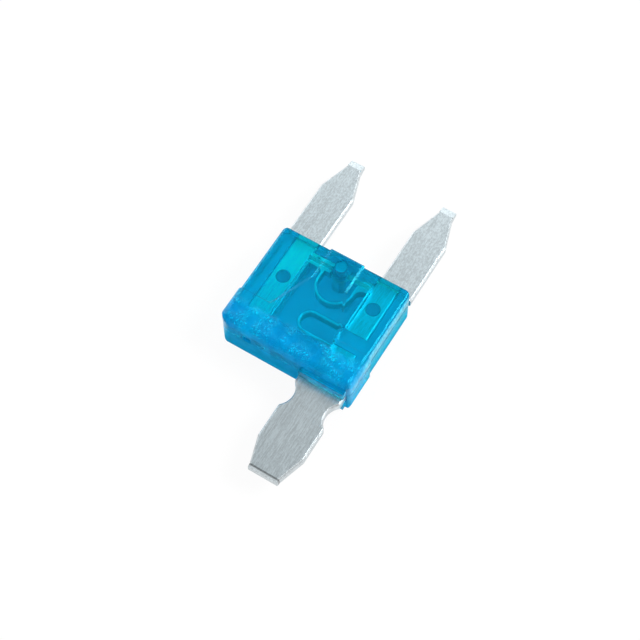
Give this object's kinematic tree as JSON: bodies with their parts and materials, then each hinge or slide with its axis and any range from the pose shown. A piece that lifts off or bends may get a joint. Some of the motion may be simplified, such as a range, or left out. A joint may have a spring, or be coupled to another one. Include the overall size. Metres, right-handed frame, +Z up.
{
  "type": "automotive blade fuse",
  "caption": "Small blade fuse: translucent blue plastic housing round a stamped zinc element with two prongs, thin links and a notched tap blade on the head side.",
  "frame": {"origin": "middle of the whole fuse's outline, on the face it rests on", "axes": "+Y along the prongs towards their tips, +Z up through the housing's thickness, +X from the left prong to the right one, over the tap blade"},
  "size_m": [0.0112, 0.0254, 0.0038],
  "materials": {
    "blue_plastic": "glossy translucent moulded plastic",
    "zinc": "satin rolled zinc with fine lengthwise grain"
  },
  "bodies": {
    "root": {"upper_shell": "blue_plastic", "lower_shell": "blue_plastic", "fuse_element": "zinc"}
  },
  "joints": []
}
